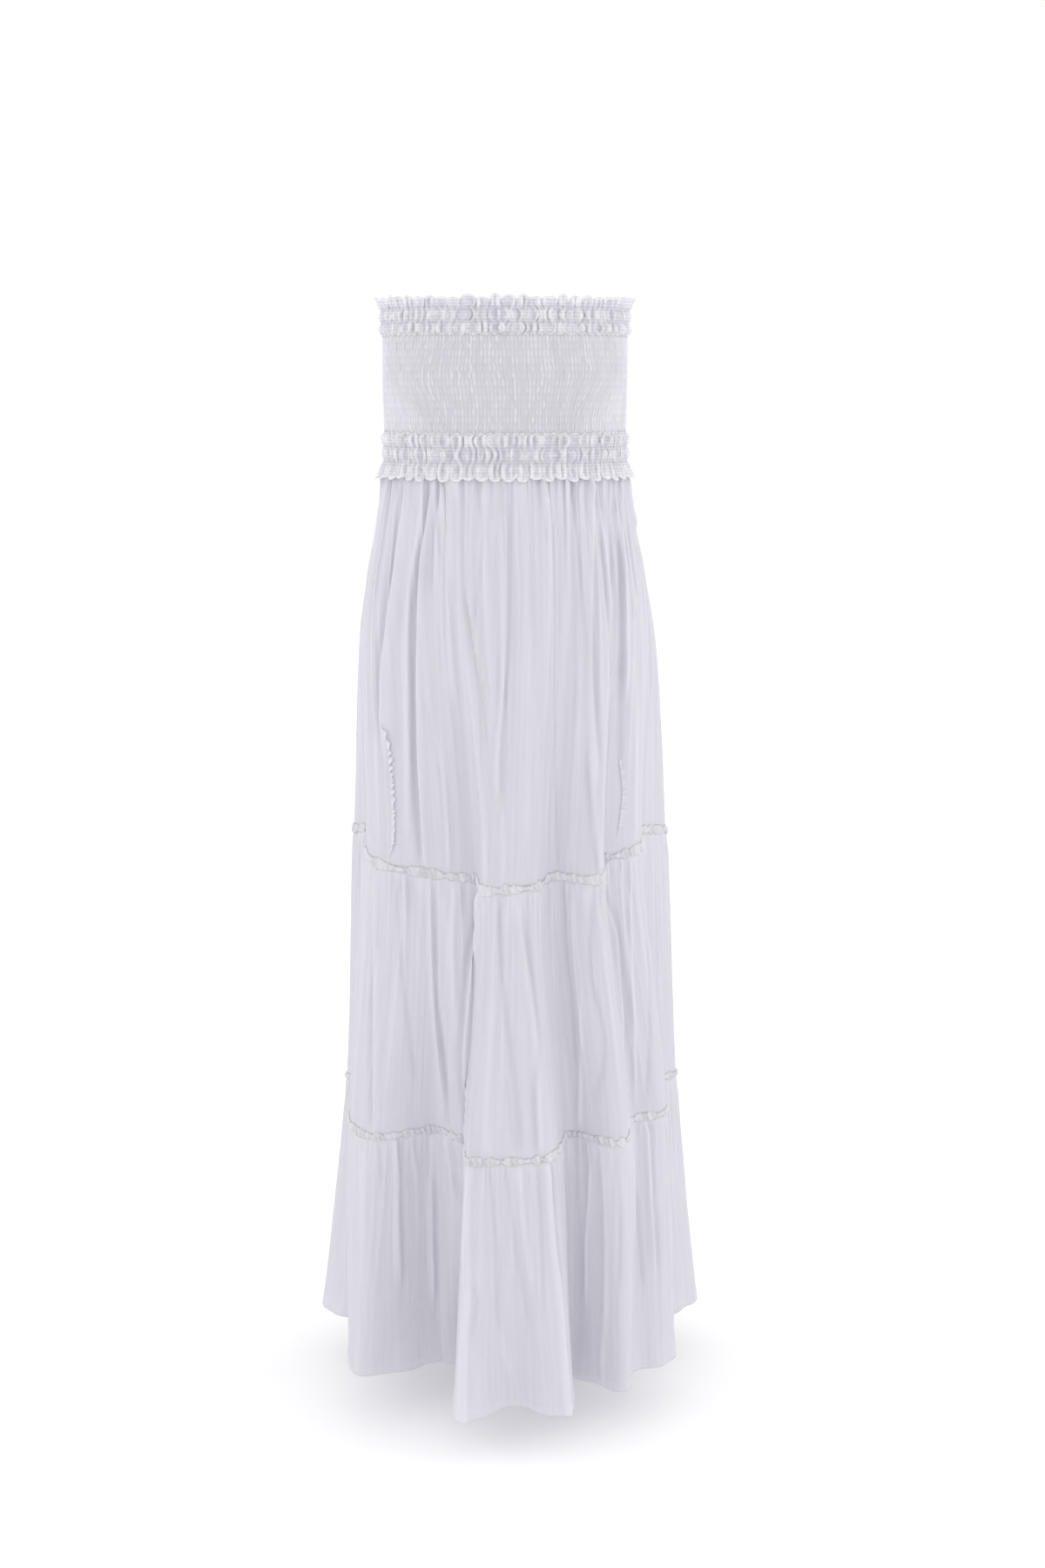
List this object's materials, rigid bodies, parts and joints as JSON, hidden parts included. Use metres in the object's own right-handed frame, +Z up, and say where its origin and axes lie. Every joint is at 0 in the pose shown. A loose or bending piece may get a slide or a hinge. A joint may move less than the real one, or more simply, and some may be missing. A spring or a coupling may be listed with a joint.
{
  "type": "strapless tiered maxi dress",
  "caption": "White strapless maxi dress in crinkled cotton gauze: shirred bodice with gathered lace bands, three gathered skirt tiers and frilled seams, worn and hollow.",
  "frame": {"origin": "centre of the bodice's top opening, at the height of the cloth's top edge, where the wearer's chest holds the dress up", "axes": "+Z up, along the dress; -Y is the dress's front; +X is to the right as seen from the front"},
  "size_m": [0.4631, 0.4405, 1.2186],
  "materials": {
    "gauze": "matte crinkled cotton gauze, half sheer",
    "lace": "matte gathered cotton lace"
  },
  "bodies": {
    "root": {"bodice_front": "gauze", "bodice_back": "gauze", "lace_top": "lace", "lace_under": "lace", "tier_1_front": "gauze", "tier_1_back": "gauze", "tier_2_front": "gauze", "tier_2_back": "gauze", "tier_3_front": "gauze", "tier_3_back": "gauze", "frill_upper": "gauze", "frill_lower": "gauze"}
  },
  "joints": []
}
